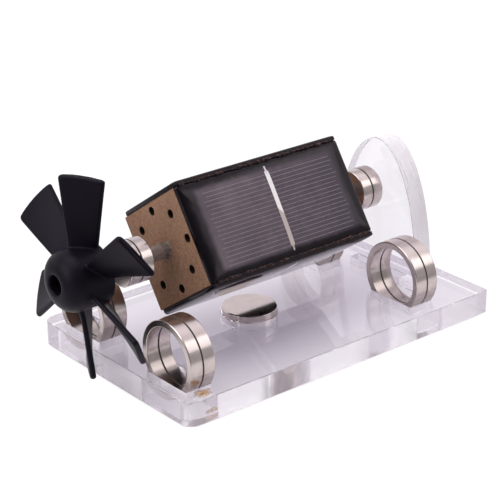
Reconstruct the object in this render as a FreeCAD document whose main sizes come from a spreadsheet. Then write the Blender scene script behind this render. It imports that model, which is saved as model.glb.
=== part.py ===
import FreeCAD, Part
import Sketcher
import os

os.makedirs("parts", exist_ok=True)

# Magnetically levitated solar demonstration motor.
# Frame: millimetres, +X along the rotor axis from the propeller towards the
# thrust plate, +Z up, origin at the centre of the underside of the base.

doc = FreeCAD.newDocument("solar_levitation_motor")
sheet = doc.addObject("Spreadsheet::Sheet", "Params")

PARAMS = [
    # base of clear sheet
    ("base_length", 125.0), ("base_width", 76.2), ("base_thickness", 8.0),
    ("base_corner", 4.0), ("base_corner_rear", 1.2),
    # ring magnets that carry the rotor
    ("ring_outer", 24.0), ("ring_inner", 19.8), ("ring_thick", 4.6),
    ("ring_chamfer", 0.25), ("ring_height", 15.33), ("ring_side", 22.0),
    ("ring_front_x", -58.15), ("ring_rear_x", 33.35),
    ("slot_clear_x", 0.15), ("slot_half_y", 9.52),
    # disc magnets under the rotor
    ("disc_dia", 18.0), ("disc_thick", 5.0), ("disc_chamfer", 0.3),
    ("disc_bottom", 0.2), ("disc_x", -8.2), ("disc_hole", 18.4),
    # upright plate that the shaft tip runs against
    ("plate_x", 46.8), ("plate_thick", 7.2), ("plate_width", 39.0),
    ("plate_height", 46.3), ("tenon_width", 24.0), ("tenon_clear", 0.1),
    # rotor axis and its rolled angle
    ("axis_height", 38.35), ("rotor_roll", 34.6),
    # square end plates of fibreboard
    ("end_half_n", 15.4), ("end_top", 15.4), ("end_bottom", 15.8),
    ("end_thick", 3.0), ("end_front_x", -40.7), ("end_rear_x", 19.9),
    ("end_hole", 2.8), ("end_hole_circle", 12.7), ("end_hole_count", 8),
    ("shaft_fit", 0.05),
    # solar panels
    ("panel_length", 64.3), ("panel_width", 31.2), ("board_thick", 0.5),
    ("panel_thick", 2.2), ("cell_thick", 0.15), ("cell_length", 54.0),
    ("cell_width", 27.6), ("resin_round", 1.5), ("panel_x", -40.9),
    ("side_inner", 15.5), ("low_inner", 15.95), ("panel_4_shift", 2.0),
    # shaft and its needle point
    ("shaft_dia", 4.7), ("shaft_front_x", -74.0), ("shaft_rear_x", 44.3),
    ("tip_dia", 2.0), ("tip_end_x", 46.75), ("tip_depth", 4.0),
    ("tip_cone", 1.6),
    # ring magnets on the shaft
    ("rotor_ring_outer", 14.0), ("rotor_ring_thick", 4.3),
    ("rotor_ring_chamfer", 0.3), ("rotor_ring_front_x", -58.75),
    ("rotor_ring_rear_x", 34.6),
    # glue collars on the shaft
    ("collar_radius", 3.6), ("collar_length", 2.6),
    # windings and their wooden core
    ("core_side", 15.0), ("core_length", 46.0), ("core_x", -32.1),
    ("coil_width", 10.0), ("coil_build", 2.2), ("coil_gap", 0.1),
    ("coil_eye", 5.4),
    # wires and solder between windings and panels
    ("wire_dia", 0.7), ("wire_x", -29.0), ("wire_pitch", 3.0),
    ("solder_dia", 2.2), ("solder_height", 0.8),
    # propeller
    ("hub_radius", 9.6), ("hub_nose_x", -81.5), ("hub_rear_x", -66.4),
    ("hub_round", 5.8), ("hub_wall", 1.5), ("hub_front_wall", 3.2),
    ("boss_radius", 4.2), ("nose_hole", 6.2), ("nose_depth", 7.0),
    ("blade_tip_radius", 31.5), ("blade_count", 6),
    ("root_front_x", -74.2), ("root_front_y", 2.2),
    ("root_rear_x", -67.3), ("root_rear_y", -3.4),
    ("tip_front_x", -73.63), ("tip_front_y", 7.08),
    ("tip_rear_x", -66.57), ("tip_rear_y", -7.46),
    ("root_thick", 1.7), ("tip_thick", 1.2), ("root_level", 8.4),
    ("tip_level", 33.0), ("seam_x", -75.0), ("seam_wide", 0.5),
    ("seam_deep", 0.4),
    # glue beads along the long seams of the panels
    ("near_bead_dia", 0.4), ("far_bead_dia", 1.0), ("bead_inset", 1.5),
]


class Dim:
    """A length that is both an expression over the sheet and its number."""

    def __init__(self, text, value):
        self.text = text
        self.value = float(value)

    def _pair(self, other):
        if isinstance(other, Dim):
            return other
        return Dim(repr(float(other)), other)

    def __add__(self, other):
        o = self._pair(other)
        return Dim("(%s + %s)" % (self.text, o.text), self.value + o.value)

    def __sub__(self, other):
        o = self._pair(other)
        return Dim("(%s - %s)" % (self.text, o.text), self.value - o.value)

    def __mul__(self, other):
        o = self._pair(other)
        return Dim("(%s * %s)" % (self.text, o.text), self.value * o.value)

    def __truediv__(self, other):
        o = self._pair(other)
        return Dim("(%s / %s)" % (self.text, o.text), self.value / o.value)

    def __neg__(self):
        return Dim("(0 - %s)" % self.text, -self.value)


P = {}
for row, (name, number) in enumerate(PARAMS, start=1):
    sheet.set("A%d" % row, name)
    sheet.set("B%d" % row, repr(number))
    sheet.setAlias("B%d" % row, name)
    P[name] = Dim("Params." + name, number)
doc.recompute()

PIECES = []          # (node name, object) in the order they are made
V = FreeCAD.Vector
X_AXIS = V(1, 0, 0)


def new_body(label):
    body = doc.addObject("PartDesign::Body", label)
    body.Label = label
    PIECES.append((label, body))
    return body


def origin_plane(body, role):
    for feature in body.Origin.OriginFeatures:
        if feature.Role == role:
            return feature
    raise RuntimeError("no plane " + role)


def new_sketch(body, name, role, offset=None):
    sketch = body.newObject("Sketcher::SketchObject", name)
    sketch.AttachmentSupport = [(origin_plane(body, role), "")]
    sketch.MapMode = "FlatFace"
    if offset is not None:
        sketch.AttachmentOffset = FreeCAD.Placement(
            V(0, 0, offset.value), FreeCAD.Rotation())
        sketch.setExpression("AttachmentOffset.Base.z", offset.text)
    return sketch


def bind(sketch, index, dim):
    sketch.setExpression("Constraints[%d]" % index, dim.text)


def fix_point(sketch, geo, pos, x, y):
    """Ties one vertex to its place; a zero puts it on the sketch's axis."""
    for value, axis, kind in ((x, -2, "DistanceX"), (y, -1, "DistanceY")):
        if isinstance(value, Dim) and abs(value.value) > 1e-9:
            i = sketch.addConstraint(
                Sketcher.Constraint(kind, -1, 1, geo, pos, value.value))
            bind(sketch, i, value)
        else:
            sketch.addConstraint(
                Sketcher.Constraint("PointOnObject", geo, pos, axis))


def number(value):
    return value.value if isinstance(value, Dim) else float(value)


def closed_outline(sketch, points):
    """A closed polygon whose every corner is dimensioned from the origin."""
    ids = []
    count = len(points)
    for i, (x, y) in enumerate(points):
        x2, y2 = points[(i + 1) % count]
        ids.append(sketch.addGeometry(Part.LineSegment(
            V(number(x), number(y), 0), V(number(x2), number(y2), 0)), False))
    for i in range(count):
        sketch.addConstraint(Sketcher.Constraint(
            "Coincident", ids[i], 2, ids[(i + 1) % count], 1))
    for i, (x, y) in enumerate(points):
        fix_point(sketch, ids[i], 1, x, y)
    return ids


def rectangle(sketch, x0, y0, x1, y1):
    """Four lines, square to the sketch, held by two opposite corners."""
    xs, ys = (number(x0), number(x1)), (number(y0), number(y1))
    c = [V(xs[0], ys[0], 0), V(xs[1], ys[0], 0),
         V(xs[1], ys[1], 0), V(xs[0], ys[1], 0)]
    ids = [sketch.addGeometry(Part.LineSegment(c[i], c[(i + 1) % 4]), False)
           for i in range(4)]
    for i in range(4):
        sketch.addConstraint(Sketcher.Constraint(
            "Coincident", ids[i], 2, ids[(i + 1) % 4], 1))
    for i, kind in enumerate(("Horizontal", "Vertical") * 2):
        sketch.addConstraint(Sketcher.Constraint(kind, ids[i]))
    fix_point(sketch, ids[0], 1, x0, y0)
    fix_point(sketch, ids[2], 1, x1, y1)
    return ids


def circle(sketch, x, y, diameter):
    g = sketch.addGeometry(Part.Circle(
        V(number(x), number(y), 0), V(0, 0, 1), diameter.value / 2), False)
    fix_point(sketch, g, 3, x, y)
    i = sketch.addConstraint(
        Sketcher.Constraint("Diameter", g, diameter.value))
    bind(sketch, i, diameter)
    return g


def pad(body, name, sketch, length, reverse=False):
    feature = body.newObject("PartDesign::Pad", name)
    feature.Profile = sketch
    feature.Length = length.value
    feature.setExpression("Length", length.text)
    feature.Reversed = reverse
    sketch.Visibility = False
    return feature


def pocket_through(body, name, sketch):
    feature = body.newObject("PartDesign::Pocket", name)
    feature.Profile = sketch
    feature.Type = "ThroughAll"
    feature.Midplane = True
    sketch.Visibility = False
    return feature


def pocket_depth(body, name, sketch, depth, reverse=False):
    feature = body.newObject("PartDesign::Pocket", name)
    feature.Profile = sketch
    feature.Length = depth.value
    feature.setExpression("Length", depth.text)
    feature.Reversed = reverse
    sketch.Visibility = False
    return feature


def revolve(body, name, sketch, axis):
    feature = body.newObject("PartDesign::Revolution", name)
    feature.Profile = sketch
    feature.ReferenceAxis = (sketch, [axis])
    feature.Angle = 360.0
    sketch.Visibility = False
    return feature


def round_edges(body, name, base, radius, wanted, chamfer=False):
    """Fillet or chamfer on the edges of base that wanted(edge) picks."""
    doc.recompute()
    picked = ["Edge%d" % (i + 1) for i, e in enumerate(base.Shape.Edges)
              if wanted(e)]
    if not picked:
        raise RuntimeError("no edge found for " + name)
    kind = "PartDesign::Chamfer" if chamfer else "PartDesign::Fillet"
    feature = body.newObject(kind, name)
    feature.Base = (base, picked)
    if chamfer:
        feature.Size = radius.value
        feature.setExpression("Size", radius.text)
    else:
        feature.Radius = radius.value
        feature.setExpression("Radius", radius.text)
    return feature


def place(obj, x=None, y=None, z=None, roll=None):
    """Stands a piece in the assembly, every number bound to the sheet."""
    vec = V(number(x or 0), number(y or 0), number(z or 0))
    turn = FreeCAD.Rotation(X_AXIS, number(roll or 0))
    obj.Placement = FreeCAD.Placement(vec, turn)
    for key, value in (("x", x), ("y", y), ("z", z)):
        if isinstance(value, Dim):
            obj.setExpression("Placement.Base." + key, value.text)
    if isinstance(roll, Dim):
        obj.setExpression("Placement.Rotation.Angle", roll.text)


# ---------------------------------------------------------------- base plate
slots_x = {
    "front": (P["ring_front_x"] - P["slot_clear_x"],
              P["ring_front_x"] + P["ring_thick"] * 2 + P["slot_clear_x"]),
    "rear": (P["ring_rear_x"] - P["slot_clear_x"],
             P["ring_rear_x"] + P["ring_thick"] * 2 + P["slot_clear_x"]),
}

body = new_body("base_plate")
sk = new_sketch(body, "base_outline", "XY_Plane")
rectangle(sk, -(P["base_length"] / 2), -(P["base_width"] / 2),
          P["base_length"] / 2, P["base_width"] / 2)
slab = pad(body, "base_slab", sk, P["base_thickness"])
front = round_edges(body, "base_corners_front", slab, P["base_corner"],
                    lambda e: abs(e.Vertexes[0].Z - e.Vertexes[-1].Z) > 1
                    and e.Vertexes[0].X < 0)
round_edges(body, "base_corners_rear", front, P["base_corner_rear"],
            lambda e: abs(e.Vertexes[0].Z - e.Vertexes[-1].Z) > 1
            and e.Vertexes[0].X > 0)
sk = new_sketch(body, "base_openings", "XY_Plane")
for x0, x1 in slots_x.values():
    for side in (-1, 1):
        mid = P["ring_side"] if side > 0 else -P["ring_side"]
        rectangle(sk, x0, mid - P["slot_half_y"], x1, mid + P["slot_half_y"])
rectangle(sk, P["plate_x"] - P["tenon_clear"],
          -(P["tenon_width"] / 2) - P["tenon_clear"],
          P["plate_x"] + P["plate_thick"] + P["tenon_clear"],
          P["tenon_width"] / 2 + P["tenon_clear"])
circle(sk, P["disc_x"], 0, P["disc_hole"])
pocket_through(body, "base_cuts", sk)

# -------------------------------------------------------------- thrust plate
# Half an ellipse standing on the base, with a tenon down through its slot.
body = new_body("thrust_plate")
sk = new_sketch(body, "thrust_outline", "YZ_Plane")
top = P["plate_height"].value
half = P["plate_width"].value / 2
ell = sk.addGeometry(Part.ArcOfEllipse(
    Part.Ellipse(V(0, top, 0), V(half, 0, 0), V(0, 0, 0)),
    -1.5707963267948966, 1.5707963267948966), False)
sk.exposeInternalGeometry(ell)
base_line = sk.addGeometry(Part.LineSegment(V(-half, 0, 0), V(half, 0, 0)),
                           False)
ends = [sk.getPoint(ell, 1), sk.getPoint(ell, 2)]
left = 1 if ends[0].x < ends[1].x else 2
sk.addConstraint(Sketcher.Constraint("Coincident", ell, 3, -1, 1))
sk.addConstraint(Sketcher.Constraint("Coincident", base_line, 1, ell, left))
sk.addConstraint(Sketcher.Constraint("Coincident", base_line, 2, ell,
                                     3 - left))
major, minor = ell + 1, ell + 2
sk.addConstraint(Sketcher.Constraint("Vertical", major))
i = sk.addConstraint(Sketcher.Constraint("Distance", major, 2 * top))
bind(sk, i, P["plate_height"] * 2)
i = sk.addConstraint(Sketcher.Constraint("Distance", minor, 2 * half))
bind(sk, i, P["plate_width"])
sk.addConstraint(Sketcher.Constraint("PointOnObject", base_line, 1, -1))
sk.addConstraint(Sketcher.Constraint("PointOnObject", base_line, 2, -1))
pad(body, "thrust_blade", sk, P["plate_thick"])
sk = new_sketch(body, "thrust_tenon_outline", "YZ_Plane")
rectangle(sk, -(P["tenon_width"] / 2), -P["base_thickness"],
          P["tenon_width"] / 2, 0)
pad(body, "thrust_tenon", sk, P["plate_thick"])
place(body, x=P["plate_x"], z=P["base_thickness"])


# ------------------------------------------------------------------- magnets
def ring_magnet(label, outer, inner, thick, edge, x, y, z):
    """A ring with broken edges, its own axis along X, near face at x."""
    body = new_body(label)
    sk = new_sketch(body, label + "_section", "XY_Plane")
    ro, ri = outer / 2, inner / 2
    closed_outline(sk, [
        (0, ri + edge), (edge, ri), (thick - edge, ri), (thick, ri + edge),
        (thick, ro - edge), (thick - edge, ro), (edge, ro), (0, ro - edge)])
    revolve(body, label + "_ring", sk, "H_Axis")
    place(body, x=x, y=y, z=z)
    return body


for row, near in (("front", P["ring_front_x"]), ("rear", P["ring_rear_x"])):
    for side, mid in (("left", P["ring_side"]), ("right", -P["ring_side"])):
        for k, which in enumerate(("outer", "inner")):
            ring_magnet("support_magnet_%s_%s_%s" % (row, side, which),
                        P["ring_outer"], P["ring_inner"], P["ring_thick"],
                        P["ring_chamfer"], near + P["ring_thick"] * k, mid,
                        P["ring_height"])

for k, which in enumerate(("lower", "upper")):
    label = "stator_magnet_" + which
    body = new_body(label)
    sk = new_sketch(body, label + "_section", "XZ_Plane")
    r, c, h = P["disc_dia"] / 2, P["disc_chamfer"], P["disc_thick"]
    closed_outline(sk, [(0, 0), (r - c, 0), (r, c), (r, h - c), (r - c, h),
                        (0, h)])
    revolve(body, label + "_disc", sk, "V_Axis")
    place(body, x=P["disc_x"], z=P["disc_bottom"] + P["disc_thick"] * k)

shaft_bore = P["shaft_dia"] + P["shaft_fit"] * 2
for row, near in (("front", P["rotor_ring_front_x"]),
                  ("rear", P["rotor_ring_rear_x"])):
    for k, which in enumerate(("1", "2")):
        ring_magnet("rotor_magnet_%s_%s" % (row, which),
                    P["rotor_ring_outer"], shaft_bore, P["rotor_ring_thick"],
                    P["rotor_ring_chamfer"], near + P["rotor_ring_thick"] * k,
                    None, P["axis_height"])

# --------------------------------------------------------- shaft and its tip
body = new_body("shaft")
sk = new_sketch(body, "shaft_section", "XY_Plane")
r = P["shaft_dia"] / 2
tip_r = P["tip_dia"] / 2
closed_outline(sk, [
    (P["shaft_front_x"], 0), (P["shaft_front_x"], r - 0.3),
    (P["shaft_front_x"] + 0.3, r), (P["shaft_rear_x"] - 0.3, r),
    (P["shaft_rear_x"], r - 0.3), (P["shaft_rear_x"], tip_r),
    (P["shaft_rear_x"] - P["tip_depth"], tip_r),
    (P["shaft_rear_x"] - P["tip_depth"], 0)])
revolve(body, "shaft_rod", sk, "H_Axis")
place(body, z=P["axis_height"])

body = new_body("shaft_tip")
sk = new_sketch(body, "tip_section", "XY_Plane")
closed_outline(sk, [
    (P["shaft_rear_x"] - P["tip_depth"], 0),
    (P["shaft_rear_x"] - P["tip_depth"], tip_r),
    (P["tip_end_x"] - P["tip_cone"], tip_r),
    (P["tip_end_x"] - 0.05, Dim("0.15", 0.15)), (P["tip_end_x"], 0)])
revolve(body, "tip_pin", sk, "H_Axis")
place(body, z=P["axis_height"])


# ---------------------------------------------------------------- end plates
def end_plate(label, x):
    body = new_body(label)
    sk = new_sketch(body, label + "_outline", "YZ_Plane")
    rectangle(sk, -P["end_half_n"], -P["end_bottom"], P["end_half_n"],
              P["end_top"])
    pad(body, label + "_sheet", sk, P["end_thick"])
    sk = new_sketch(body, label + "_bore", "YZ_Plane")
    circle(sk, 0, 0, shaft_bore)
    pocket_through(body, label + "_bore_cut", sk)
    sk = new_sketch(body, label + "_hole", "YZ_Plane")
    circle(sk, 0, P["end_hole_circle"], P["end_hole"])
    cut = pocket_through(body, label + "_hole_cut", sk)
    doc.recompute()
    pattern = body.newObject("PartDesign::PolarPattern", label + "_holes")
    pattern.Originals = [cut]
    pattern.Axis = (sk, ["N_Axis"])
    pattern.Angle = 360.0
    pattern.Occurrences = int(P["end_hole_count"].value)
    pattern.setExpression("Occurrences", P["end_hole_count"].text)
    body.Tip = pattern
    return body


# The rotor's square is rolled about its axis: local -Y is the outward normal
# of panel 1 and local +Z that of panel 2.
roll = -P["rotor_roll"]
for label, x in (("end_plate_front", P["end_front_x"]),
                 ("end_plate_rear", P["end_rear_x"])):
    body = end_plate(label, x)
    place(body, x=x, z=P["axis_height"], roll=roll)

# -------------------------------------------------------------- solar panels
# Each panel is built lying flat: width along Y, outward normal +Z, its inner
# face at the stated distance from the rotor axis.
panels = [
    # number, roll beyond the rotor's own, inner face, width centre, x
    (1, 90.0, P["side_inner"], Dim("(0 - 0.25)", -0.25), P["panel_x"]),
    (2, 0.0, P["side_inner"], Dim("(0 - 1.35)", -1.35), P["panel_x"]),
    (3, 180.0, P["low_inner"], Dim("1.4", 1.4), P["panel_x"]),
    (4, -90.0, P["side_inner"], Dim("1.9", 1.9),
     P["panel_x"] + P["panel_4_shift"]),
]
for k, extra, inner, mid, x0 in panels:
    turn = roll + extra
    w = P["panel_width"] / 2
    cw = P["cell_width"] / 2
    cell_x0 = (P["panel_length"] - P["cell_length"]) / 2
    cell_x1 = (P["panel_length"] + P["cell_length"]) / 2

    label = "panel_board_%d" % k
    body = new_body(label)
    sk = new_sketch(body, label + "_outline", "XY_Plane", inner)
    rectangle(sk, 0, mid - w, P["panel_length"], mid + w)
    pad(body, label + "_sheet", sk, P["board_thick"])
    place(body, x=x0, z=P["axis_height"], roll=turn)

    label = "panel_cell_%d" % k
    body = new_body(label)
    sk = new_sketch(body, label + "_outline", "XY_Plane",
                    inner + P["board_thick"])
    rectangle(sk, cell_x0, mid - cw, cell_x1, mid + cw)
    pad(body, label + "_wafer", sk, P["cell_thick"])
    place(body, x=x0, z=P["axis_height"], roll=turn)

    label = "panel_resin_%d" % k
    body = new_body(label)
    sk = new_sketch(body, label + "_outline", "XY_Plane",
                    inner + P["board_thick"])
    rectangle(sk, 0, mid - w, P["panel_length"], mid + w)
    block = pad(body, label + "_block", sk,
                P["panel_thick"] - P["board_thick"])
    crest = (inner + P["panel_thick"]).value
    dome = round_edges(body, label + "_dome", block, P["resin_round"],
                       lambda e: e.Vertexes[0].Z > crest - 1e-3
                       and e.Vertexes[-1].Z > crest - 1e-3)
    sk = new_sketch(body, label + "_recess", "XY_Plane",
                    inner + P["board_thick"])
    rectangle(sk, cell_x0, mid - cw, cell_x1, mid + cw)
    recess = pocket_depth(body, label + "_recess_cut", sk, P["cell_thick"],
                          reverse=True)
    doc.recompute()
    if not recess.Shape.Volume < dome.Shape.Volume - 1:
        raise RuntimeError("the wafer recess cut nothing in " + label)
    place(body, x=x0, z=P["axis_height"], roll=turn)

# ----------------------------------------------------- glue along the seams
# One bead lies in each long seam between two panels; the four share a node.
beads = []
seams = [
    # diameter, y and z in the rotor's own frame
    (P["near_bead_dia"], -(P["side_inner"] + 1.63), P["side_inner"] - 0.21),
    (P["near_bead_dia"], -(P["side_inner"] + 1.68), -P["low_inner"] + 0.19),
    (P["far_bead_dia"], P["side_inner"] + 0.5, P["side_inner"] - 0.75),
    (P["far_bead_dia"], P["side_inner"] - 0.64, -P["low_inner"] - 0.41),
]
for k, (bead_dia, y, z) in enumerate(seams, start=1):
    bead_r = bead_dia / 2
    bead = doc.addObject("Part::Cylinder", "seam_bead_%d" % k)
    bead.Radius = bead_r.value
    bead.setExpression("Radius", bead_r.text)
    run = P["panel_length"] - P["bead_inset"] * 2
    bead.Height = run.value
    bead.setExpression("Height", run.text)
    turn = FreeCAD.Rotation(X_AXIS, roll.value)
    at = turn.multVec(V(0, y.value, z.value))
    start = V((P["panel_x"] + P["bead_inset"]).value, at.y,
              at.z + P["axis_height"].value)
    bead.Placement = FreeCAD.Placement(start,
                                       FreeCAD.Rotation(V(0, 1, 0), 90))
    beads.append(bead)
group = doc.addObject("Part::Compound", "seam_glue")
group.Links = beads
group.Label = "seam_glue"
PIECES.append(("seam_glue", group))


# ------------------------------------------------------------- glue collars
def collar(label, x, towards):
    body = new_body(label)
    sk = new_sketch(body, label + "_section", "XY_Plane")
    ri = shaft_bore / 2
    length = P["collar_length"] if towards > 0 else -P["collar_length"]
    closed_outline(sk, [(0, ri), (0, P["collar_radius"]),
                        (length * 0.35, P["collar_radius"] * 0.86),
                        (length, ri + 0.25), (length, ri)])
    revolve(body, label + "_bead", sk, "H_Axis")
    place(body, x=x, z=P["axis_height"])


collar("shaft_glue_front", P["end_front_x"], -1)
collar("shaft_glue_rear", P["end_rear_x"] + P["end_thick"], 1)

# ------------------------------------------------ wooden core and windings
body = new_body("coil_core")
sk = new_sketch(body, "core_outline", "YZ_Plane")
c = P["core_side"] / 2
rectangle(sk, -c, -c, c, c)
pad(body, "core_block", sk, P["core_length"])
sk = new_sketch(body, "core_bore_outline", "YZ_Plane")
circle(sk, 0, 0, shaft_bore)
pocket_through(body, "core_bore", sk)
place(body, x=P["core_x"], z=P["axis_height"], roll=roll)

# Each winding is a flat loop wound lengthwise over the core; its turns part
# around the shaft at both ends. The second lies outside the first there.
for k, (turn_by, ends_out) in enumerate(((90.0, 0), (0.0, 1)), start=1):
    label = "coil_winding_%d" % k
    body = new_body(label)
    side = P["core_side"] / 2 + P["coil_gap"]
    reach = (P["coil_build"] + P["coil_gap"]) * ends_out + P["coil_gap"]
    x0, x1 = -reach, P["core_length"] + reach
    sk = new_sketch(body, label + "_loop", "XZ_Plane",
                    -(P["coil_width"] / 2))
    rectangle(sk, x0, -side, x1, side)
    rectangle(sk, x0 - P["coil_build"], -side - P["coil_build"],
              x1 + P["coil_build"], side + P["coil_build"])
    loop = pad(body, label + "_turns", sk, P["coil_width"])
    sk = new_sketch(body, label + "_eye", "YZ_Plane")
    circle(sk, 0, 0, P["coil_eye"])
    pocket_through(body, label + "_eye_cut", sk)
    place(body, x=P["core_x"], z=P["axis_height"], roll=roll + turn_by)

# --------------------------------------------------- wires and solder joints
wires, joints = [], []
coil_face = P["core_side"] / 2 + P["coil_gap"] + P["coil_build"]
for k, extra, inner, mid, x0 in panels:
    for s in (-1, 1):
        turn = FreeCAD.Rotation(X_AXIS, roll.value + extra)
        for kind, store in (("wire", wires), ("solder", joints)):
            if kind == "wire":
                obj = doc.addObject("Part::Cylinder", "wire_%d_%s" % (
                    k, "a" if s < 0 else "b"))
                obj.Radius = P["wire_dia"].value / 2
                obj.setExpression("Radius", (P["wire_dia"] / 2).text)
                run = inner - coil_face - P["solder_height"]
                obj.Height = run.value
                obj.setExpression("Height", run.text)
                level = coil_face
            else:
                obj = doc.addObject("Part::Cone", "solder_%d_%s" % (
                    k, "a" if s < 0 else "b"))
                obj.Radius1 = P["wire_dia"].value / 2 + 0.1
                obj.setExpression("Radius1", (P["wire_dia"] / 2 + 0.1).text)
                obj.Radius2 = P["solder_dia"].value / 2
                obj.setExpression("Radius2", (P["solder_dia"] / 2).text)
                obj.Height = P["solder_height"].value
                obj.setExpression("Height", P["solder_height"].text)
                level = inner - P["solder_height"]
            at = turn.multVec(V(0, s * P["wire_pitch"].value, level.value))
            obj.Placement = FreeCAD.Placement(
                V(P["wire_x"].value, at.y, at.z + P["axis_height"].value),
                turn)
            store.append(obj)
for label, store in (("lead_wires", wires), ("solder_joints", joints)):
    group = doc.addObject("Part::Compound", label)
    group.Links = store
    group.Label = label
    PIECES.append((label, group))

# ----------------------------------------------------------------- propeller
body = new_body("propeller")
sk = new_sketch(body, "hub_section", "XY_Plane")
closed_outline(sk, [
    (P["hub_nose_x"], P["nose_hole"] / 2),
    (P["hub_nose_x"], P["hub_radius"]),
    (P["hub_rear_x"], P["hub_radius"]),
    (P["hub_rear_x"], P["hub_radius"] - P["hub_wall"]),
    (P["hub_nose_x"] + P["hub_front_wall"] + 2.0,
     P["hub_radius"] - P["hub_wall"]),
    (P["hub_nose_x"] + P["hub_front_wall"] + 2.0, P["boss_radius"]),
    (P["hub_rear_x"], P["boss_radius"]),
    (P["hub_rear_x"], shaft_bore / 2),
    (P["hub_nose_x"] + P["nose_depth"], shaft_bore / 2),
    (P["hub_nose_x"] + P["nose_depth"], P["nose_hole"] / 2)])
hub = revolve(body, "hub", sk, "H_Axis")
nose = P["hub_nose_x"].value
rim = P["hub_radius"].value


def on_nose_rim(e):
    c = getattr(e.Curve, "Radius", 0)
    return abs(c - rim) < 1e-3 and abs(e.Vertexes[0].X - nose) < 1e-3


dome = round_edges(body, "hub_nose", hub, P["hub_round"], on_nose_rim)
doc.recompute()
sk = new_sketch(body, "hub_seam_section", "XY_Plane")
closed_outline(sk, [
    (P["seam_x"] - P["seam_wide"] / 2, P["hub_radius"] + 0.2),
    (P["seam_x"], P["hub_radius"] - P["seam_deep"]),
    (P["seam_x"] + P["seam_wide"] / 2, P["hub_radius"] + 0.2)])
seam = body.newObject("PartDesign::Groove", "hub_seam")
seam.Profile = sk
seam.ReferenceAxis = (sk, ["H_Axis"])
seam.Angle = 360.0
sk.Visibility = False
doc.recompute()
if not seam.Shape.Volume < dome.Shape.Volume - 0.5:
    raise RuntimeError("the hub seam cut nothing")


def blade_section(name, level, front, rear, thick):
    """A thin slanted section across one blade, standing along +Z."""
    sk = new_sketch(body, name, "XY_Plane", level)
    fx, fy = front
    rx, ry = rear
    across_x, across_y = thick * 0.34, thick * 0.365
    along_x, along_y = thick * 0.3, thick * 0.28
    closed_outline(sk, [
        (fx - along_x, fy + along_y),
        (fx + across_x, fy + across_y),
        (rx + across_x, ry + across_y),
        (rx + along_x, ry - along_y),
        (rx - across_x, ry - across_y),
        (fx - across_x, fy - across_y)])
    return sk


root = blade_section("blade_root", P["root_level"],
                     (P["root_front_x"], P["root_front_y"]),
                     (P["root_rear_x"], P["root_rear_y"]), P["root_thick"])
tip = blade_section("blade_tip", P["tip_level"],
                    (P["tip_front_x"], P["tip_front_y"]),
                    (P["tip_rear_x"], P["tip_rear_y"]), P["tip_thick"])
blade = body.newObject("PartDesign::AdditiveLoft", "blade")
blade.Profile = root
blade.Sections = [tip]
blade.Ruled = True
root.Visibility = False
tip.Visibility = False
doc.recompute()
pattern = body.newObject("PartDesign::PolarPattern", "blades")
pattern.Originals = [blade]
pattern.Axis = (sk, ["H_Axis"])
pattern.Angle = 360.0
pattern.Occurrences = int(P["blade_count"].value)
pattern.setExpression("Occurrences", P["blade_count"].text)
body.Tip = pattern
doc.recompute()
# the tips are trimmed to one cylinder about the shaft
sk = new_sketch(body, "tip_trim_outline", "XY_Plane")
rectangle(sk, P["hub_nose_x"] - 2, P["blade_tip_radius"], P["hub_rear_x"] + 4,
          P["blade_tip_radius"] + 8)
trim = body.newObject("PartDesign::Groove", "tip_trim")
trim.Profile = sk
trim.ReferenceAxis = (sk, ["H_Axis"])
trim.Angle = 360.0
sk.Visibility = False
body.Tip = trim
place(body, z=P["axis_height"])

# ------------------------------------------------------------ check and save
doc.recompute()
problems = []
for obj in doc.Objects:
    if "Invalid" in obj.State or "Error" in obj.State:
        problems.append("%s: %s" % (obj.Name, obj.State))
for label, obj in PIECES:
    shape = obj.Shape
    if shape.isNull() or not shape.isValid() or shape.Volume <= 0:
        problems.append("%s: bad shape" % label)
if problems:
    raise RuntimeError("\n".join(problems))
if pattern.Shape.Volume - trim.Shape.Volume < 1:
    raise RuntimeError("the tips were not trimmed")
for label, obj in PIECES:
    obj.Shape.exportStep(os.path.join("parts", label + ".step"))
    box = obj.Shape.BoundBox
    print("%-34s vol %9.1f  solids %d  x %7.2f %7.2f  y %7.2f %7.2f  "
          "z %7.2f %7.2f" % (label, obj.Shape.Volume, len(obj.Shape.Solids),
                             box.XMin, box.XMax, box.YMin, box.YMax,
                             box.ZMin, box.ZMax))
print("nodes", len(PIECES))
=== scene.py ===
import math

import bmesh
import bpy
from mathutils import Matrix, Vector, noise


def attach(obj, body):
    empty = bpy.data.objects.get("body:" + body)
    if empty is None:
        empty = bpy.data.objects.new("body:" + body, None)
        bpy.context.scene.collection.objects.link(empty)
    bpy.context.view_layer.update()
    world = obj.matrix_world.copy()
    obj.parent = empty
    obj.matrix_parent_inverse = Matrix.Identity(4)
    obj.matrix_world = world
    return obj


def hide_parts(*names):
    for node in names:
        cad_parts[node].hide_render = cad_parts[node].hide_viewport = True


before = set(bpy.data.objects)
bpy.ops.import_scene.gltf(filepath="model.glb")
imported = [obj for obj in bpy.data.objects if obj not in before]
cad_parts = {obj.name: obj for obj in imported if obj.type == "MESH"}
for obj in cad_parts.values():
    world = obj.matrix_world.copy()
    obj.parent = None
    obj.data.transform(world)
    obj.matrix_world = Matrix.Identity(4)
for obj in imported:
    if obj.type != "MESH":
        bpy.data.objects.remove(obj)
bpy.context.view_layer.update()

MM = 0.001
ROLL = math.radians(-34.6)
AXIS_Z = 38.35
ROTOR = Matrix.Translation((0, 0, AXIS_Z * MM)) @ Matrix.Rotation(ROLL, 4, "X")


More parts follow.
